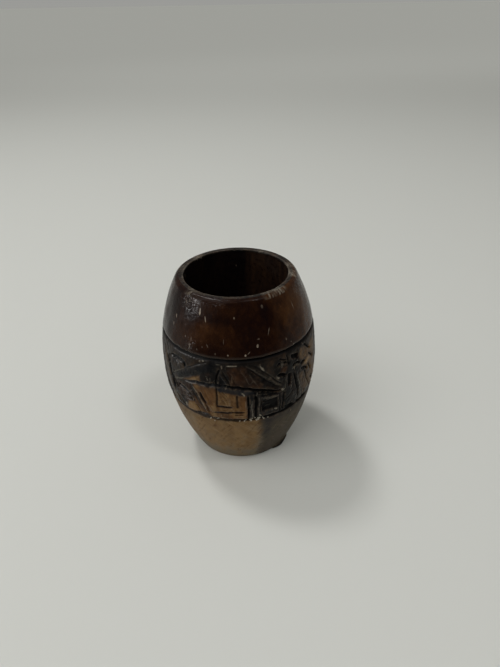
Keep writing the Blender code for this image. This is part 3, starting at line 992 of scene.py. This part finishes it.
def carved_wood():
    """Dark stained hardwood: lacquered above the band, worn satin below it, black in the cuts."""
    s = Shader("carved_wood")
    here = s.place()
    tone, cut, gloss, wear = (s.attribute(name) for name in ("tone", "cut", "gloss", "wear"))
    pale, warm, scuff = (s.attribute(name) for name in ("pale", "warm", "scuff"))
    matte = s.minus(1.0, gloss, clamp=True)

    figure = s.noise(s.stretched(here, (1.0, 1.0, 0.30)), 90.0, 4.0, 0.55, 0.6)
    grain = s.noise(s.stretched(s.twisted(here, 9.0), (1.0, 1.0, 0.05)), 900.0, 4.0, 0.6)
    sanding = s.noise(s.stretched(s.twisted(here, -16.0), (1.0, 1.0, 0.09)), 560.0, 3.0, 0.6)
    crossing = s.noise(s.stretched(s.twisted(here, 28.0), (1.0, 1.0, 0.08)), 620.0, 3.0, 0.6)
    blotch = s.noise(here, 420.0, 3.0, 0.6)
    speckle = s.noise(here, 850.0, 2.0, 0.6)

    shade = tone
    for field, on_foot, elsewhere in ((figure, 0.16, 0.38), (grain, 0.10, 0.24), (blotch, 0.05, 0.34)):
        weight = s.span(gloss, 0.2, 0.5, on_foot, elsewhere)
        shade = s.plus(shade, s.swing(field, weight))
    drift = s.times(s.minus(shade, tone), s.span(tone, 0.60, 0.80, 1.0, 1.8))
    shade = s.plus(tone, drift)
    scored = s.minus(s.span(crossing, 0.54, 0.68), s.span(sanding, 0.32, 0.46, 1.0, 0.0))
    scored = s.times(scored, s.span(gloss, 0.2, 0.5, 0.17, 0.05))
    shade = s.plus(shade, s.times(scored, s.span(tone, 0.66, 0.85, 0.4, 1.0)))
    patchy = s.noise(here, 210.0, 2.0, 0.5)
    warm = s.plus(warm, s.minus(patchy, 0.5))
    redder = s.larger(s.span(gloss, 0.6, 0.9), s.larger(warm, 0.0))
    rich = s.ramp(s.plus(shade, s.times(matte, 0.12)), LACQUERED)
    colour = s.mix(redder, s.ramp(shade, DRY), rich)
    cooler = s.minus(s.times(warm, -1.0), s.span(gloss, 0.6, 0.9), clamp=True)
    colour = s.mix(cooler, colour, (0.69, 1.0, 1.70), "MULTIPLY")

    # worn ridges are paler; cuts are black, the deeper the blacker, partly dark stain and partly painted
    # shade; crumbs of dust lie in the lower groove
    worn = s.times(wear, s.span(blotch, 0.40, 0.62))
    colour = s.mix(s.times(worn, 0.32), colour, (0.24, 0.18, 0.12))
    black_stain_and_shade = s.times(s.span(cut, 0.24, 0.72), s.span(figure, 0.20, 0.55, 0.92, 0.99), clamp=True)
    black_stain_and_shade = s.times(black_stain_and_shade, s.span(tone, 0.58, 0.76, 1.0, 0.84))
    colour = s.mix(black_stain_and_shade, colour, (0.003, 0.0026, 0.0026))
    edge = s.times(pale, s.span(speckle, 0.30, 0.60, 0.45, 1.0), clamp=True)
    colour = s.mix(edge, colour, (0.40, 0.35, 0.27))
    crumb = s.span(s.attribute("crumb"), 0.25, 0.6)
    colour = s.mix(s.times(crumb, s.span(blotch, 0.3, 0.6, 0.5, 1.0)), colour, (0.46, 0.42, 0.34))

    # pale nicks at given places, and finer flecks everywhere
    nick = s.times(nick_mask(s, here), s.span(speckle, 0.30, 0.55, 0.35, 1.0))
    flecks = s.node("ShaderNodeTexVoronoi", feature="F1", distance="EUCLIDEAN")
    s.put(flecks.inputs["Vector"], s.stretched(s.twisted(here, 3.0), (1.0, 1.0, 0.35)))
    s.put(flecks.inputs["Scale"], 330.0)
    split = s.node("ShaderNodeSeparateXYZ")
    s.put(split.inputs[0], flecks.outputs["Color"])
    chosen = s.math("GREATER_THAN", split.outputs["X"], 0.82)
    size = s.times(split.outputs["Y"], 0.16)
    fleck = s.times(s.math("LESS_THAN", flecks.outputs["Distance"], size), chosen)
    # pale specks of rubbed lacquer; in the patch at the left under the rim they are also painted highlight
    # sparkle
    rubbed = s.times(s.span(scuff, 0.3, 1.0), s.span(speckle, 0.56, 0.68, 0.0, 0.40))
    mark = s.larger(nick, s.larger(rubbed, s.times(fleck, 0.25)))
    colour = s.mix(mark, colour, (0.36, 0.29, 0.22))
    s.set("Base Color", colour)
    s.set("Specular IOR Level", 0.09)

    rough = s.minus(0.62, s.times(gloss, 0.42))
    rough = s.plus(rough, s.swing(blotch, 0.30))
    rough = s.plus(rough, s.times(mark, 0.25))
    rough = s.plus(rough, s.times(scuff, s.span(speckle, 0.3, 0.7, -0.05, 0.22)))
    rough = s.plus(rough, s.times(black_stain_and_shade, 0.18), clamp=True)
    s.set("Roughness", rough)

    relief = s.plus(s.times(grain, 0.4), s.times(s.times(sanding, matte), 0.8))
    normal = s.bump(relief, 0.00012, 0.8)
    normal = s.bump(blotch, 0.00030, 0.40, normal)
    crazing = s.plus(speckle, s.times(s.noise(here, 2100.0, 2.0, 0.7), 0.6))
    normal = s.bump(s.times(crazing, scuff), 0.0006, 1.0, normal)
    normal = s.bump(mark, 0.0001, 0.6, normal)
    s.set("Normal", normal)
    return s.material


def disc_wood():
    """Sanded hardwood of the base, with the rings that the lathe left."""
    s = Shader("disc_wood")
    here = s.place()
    figure = s.noise(s.stretched(here, (1.0, 0.15, 1.0)), 260.0, 4.0, 0.6, 0.8)
    pores = s.noise(s.stretched(here, (1.0, 0.08, 1.0)), 1400.0, 2.0, 0.6)
    shade = s.plus(s.plus(0.42, s.swing(figure, 0.5)), s.swing(pores, 0.2))
    s.set("Base Color", s.ramp(shade, DRY))
    s.set("Roughness", s.span(pores, 0.3, 0.7, 0.45, 0.65))
    rings = s.node("ShaderNodeTexWave", wave_type="RINGS", rings_direction="Z")
    s.put(rings.inputs["Vector"], here)
    s.put(rings.inputs["Scale"], 260.0)
    s.put(rings.inputs["Distortion"], 0.6)
    normal = s.bump(rings.outputs["Fac"], 0.00006, 0.6)
    s.set("Normal", s.bump(pores, 0.0001, 0.5, normal))
    return s.material


def dried_glue():
    """Amber bead of wood glue, darkened by dust."""
    s = Shader("dried_glue")
    dust = s.noise(s.place(), 700.0, 3.0, 0.6)
    s.set("Base Color", s.ramp(dust, GLUE))
    s.set("Roughness", s.span(dust, 0.3, 0.7, 0.25, 0.5))
    s.set("Normal", s.bump(dust, 0.0002, 0.5))
    return s.material


def assign(piece, material):
    piece.data.materials.clear()
    piece.data.materials.append(material)


# ---- Stage
def build_floor():
    reach = 500 * cad_high.z
    points = [(-reach, -reach, 0), (reach, -reach, 0), (reach, reach, 0), (-reach, reach, 0)]
    floor = add_mesh("floor", points, [(0, 1, 2, 3)])
    s = Shader("pale_floor")
    s.set("Base Color", (0.70, 0.705, 0.665, 1))
    s.set("Roughness", 0.7)
    s.set("Specular IOR Level", 0.0)
    assign(floor, s.material)
    floor.location.z = -0.00005


def aim(thing, target):
    """Turn a light's -Z to the target."""
    thing.rotation_euler = (Vector(target) - thing.location).to_track_quat("-Z", "Y").to_euler()


def add_softbox(name, place, size, power, spread=180):
    data = bpy.data.lights.new(name, "AREA")
    data.shape = "RECTANGLE"
    data.size, data.size_y = size
    data.energy = power
    data.spread = math.radians(spread)
    light = bpy.data.objects.new(name, data)
    light.location = place
    bpy.context.scene.collection.objects.link(light)
    aim(light, (0, 0, cad_high.z / 2))
    return light


def build_flag():
    """Dark cloth that hangs where the viewer stands and runs on over the floor before the cup.

    Only mirror-like reflections see it.
    """
    tall = cad_high.z
    half, away, top, near, low = 9 * tall, -4.2 * tall, 9 * tall, -1.5 * tall, 0.004 * tall
    points = [(-half, away, low), (half, away, low), (half, away, top), (-half, away, top),
              (-2.5 * tall, near, low), (2.5 * tall, near, low)]
    flag = add_mesh("viewer_flag", points, [(0, 1, 2, 3), (0, 1, 5, 4)])
    s = Shader("flag_cloth")
    s.set("Base Color", (0.01, 0.01, 0.01, 1))
    assign(flag, s.material)
    flag.visible_camera = False
    flag.visible_diffuse = False
    flag.visible_shadow = False
    flag.visible_transmission = False


def build_light():
    """Soft room with high softboxes, and a small low one for the glint.

    The room is paler above than at the horizon, but for the horizon behind the cup.
    """
    world = bpy.data.worlds.new("room")
    bpy.context.scene.world = world
    world.use_nodes = True
    tree = world.node_tree
    background = tree.nodes["Background"]
    background.inputs["Color"].default_value = (1.0, 1.0, 0.955, 1)
    direction = tree.nodes.new("ShaderNodeTexCoord")
    split = tree.nodes.new("ShaderNodeSeparateXYZ")
    tree.links.new(direction.outputs["Generated"], split.inputs[0])
    strength = tree.nodes.new("ShaderNodeMath")
    strength.operation = "MULTIPLY_ADD"
    tree.links.new(strength.outputs[0], background.inputs["Strength"])
    # extra near the horizon, times how far behind the cup, plus the rise from horizon to zenith
    spans = (("Z", 0.0, 0.25, 0.15, 0.0), ("Y", 0.05, 0.35, 0.0, 1.0), ("Z", 0.0, 0.25, 0.175, 0.25))
    for socket, (axis, *span) in zip(strength.inputs, spans):
        node = tree.nodes.new("ShaderNodeMapRange")
        tree.links.new(split.outputs[axis], node.inputs["Value"])
        for name, value in zip(("From Min", "From Max", "To Min", "To Max"), span):
            node.inputs[name].default_value = value
        tree.links.new(node.outputs[0], socket)
    add_softbox("back_softbox", (-0.657, 0.667, 1.766), (0.30, 0.30), 6.6, 150)
    add_softbox("front_softbox", (-0.56, -0.43, 1.05), (1.0, 0.8), 5.0)
    add_softbox("right_softbox", (0.70, -0.48, 1.82), (0.30, 0.30), 4.0)
    glint = add_softbox("left_softbox", (-0.843, -0.198, 0.315), (0.066, 0.056), 8.4)
    glint.visible_diffuse = False
    far = add_softbox("far_softbox", (0, 28.6, 0.6), (60.0, 54.0), 2400)
    far.rotation_euler = (0, 0, 0)
    far.visible_camera = False
    far.visible_glossy = False


def build_camera():
    """Camera over the front edge of the table, looking down at the cup."""
    tall = cad_high.z
    place = Vector((0.125, -2.214, 2.093)) * tall
    pitch = math.radians(33.4)
    roll = math.radians(-0.95)
    ahead = Vector((0, math.cos(pitch), -math.sin(pitch)))
    right = Vector((1, 0, 0))
    up = right.cross(ahead)
    turned_right = math.cos(roll) * right + math.sin(roll) * up
    turned_up = math.cos(roll) * up - math.sin(roll) * right
    data = bpy.data.cameras.new("camera")
    data.sensor_width = 36
    data.lens = 27.20
    data.shift_x = -0.0190
    data.clip_start = 0.01
    data.clip_end = 200
    camera = bpy.data.objects.new("camera", data)
    turn = Matrix((turned_right, turned_up, -ahead)).transposed().to_4x4()
    camera.matrix_world = Matrix.Translation(place) @ turn
    bpy.context.scene.collection.objects.link(camera)
    bpy.context.scene.camera = camera


# ---- Scene
bpy.context.scene.view_settings.view_transform = "Standard"
build_camera()
build_light()
build_floor()
build_flag()

wall = build_wall()
assign(wall, carved_wood())
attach(wall, "root")
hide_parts("barrel_body")

assign(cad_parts["base_disc"], disc_wood())
assign(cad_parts["glue_bead"], dried_glue())
